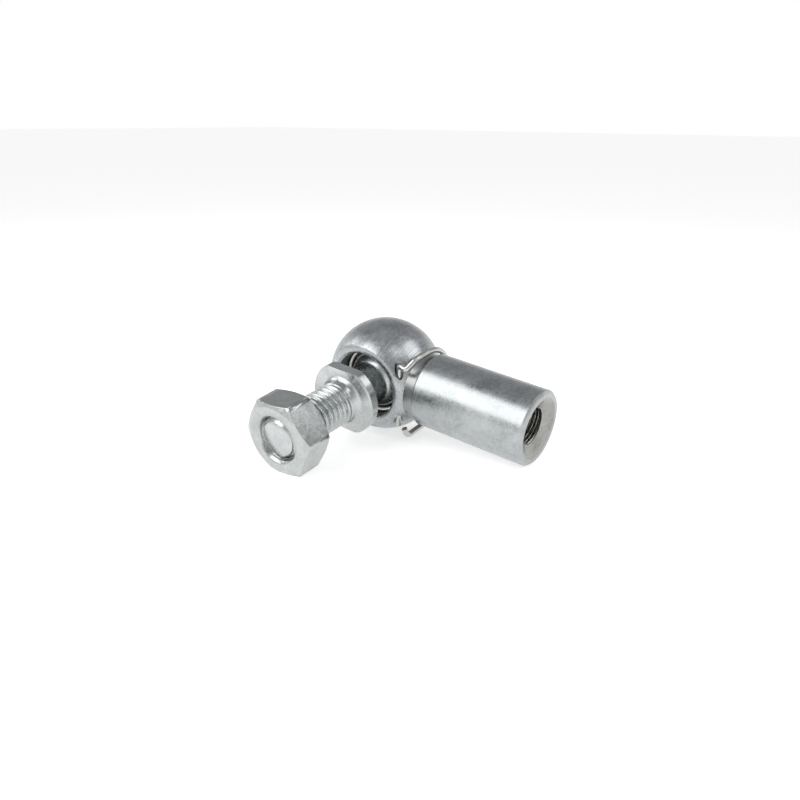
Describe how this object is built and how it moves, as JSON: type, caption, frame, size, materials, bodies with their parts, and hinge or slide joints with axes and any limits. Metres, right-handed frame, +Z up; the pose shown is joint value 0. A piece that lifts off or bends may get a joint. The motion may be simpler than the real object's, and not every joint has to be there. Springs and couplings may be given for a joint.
{
  "type": "angle ball joint",
  "caption": "Angle ball joint: a threaded ball stud swivels in the round head of a socket with a threaded shank, held by a ring and a wire safety clip.",
  "frame": {"origin": "on the surface that the joint lies on, under the middle of its box", "axes": "+X towards the shank's end, -Y towards the ball stud's nut, +Z up from the surface it lies on"},
  "size_m": [0.0438, 0.0421, 0.0216],
  "materials": {
    "zinc_plated_steel": "satin",
    "spring_wire": "satin"
  },
  "bodies": {
    "socket": {"ball_socket": "zinc_plated_steel", "safety_clip": "spring_wire"},
    "ring": {"retaining_ring": "spring_wire"},
    "stud": {"ball_stud": "zinc_plated_steel"},
    "nut": {"hex_nut": "zinc_plated_steel"}
  },
  "joints": [
    {"name": "ring_turn", "type": "hinge", "parent": "socket", "child": "ring", "pos_m": [-0.01199, 0.01025, 0.0108], "axis": [-0.0169, -0.9895, -0.1437], "continuous": true},
    {"name": "stud_tilt", "type": "hinge", "parent": "ring", "child": "stud", "pos_m": [-0.01199, 0.01025, 0.0108], "axis": [0.1156, -0.1447, 0.9827], "range_deg": [-18, 18]},
    {"name": "nut_travel", "type": "slide", "parent": "stud", "child": "nut", "axis": [0.0169, 0.9895, 0.1437], "range_m": [-0.00625, 0.01]}
  ]
}
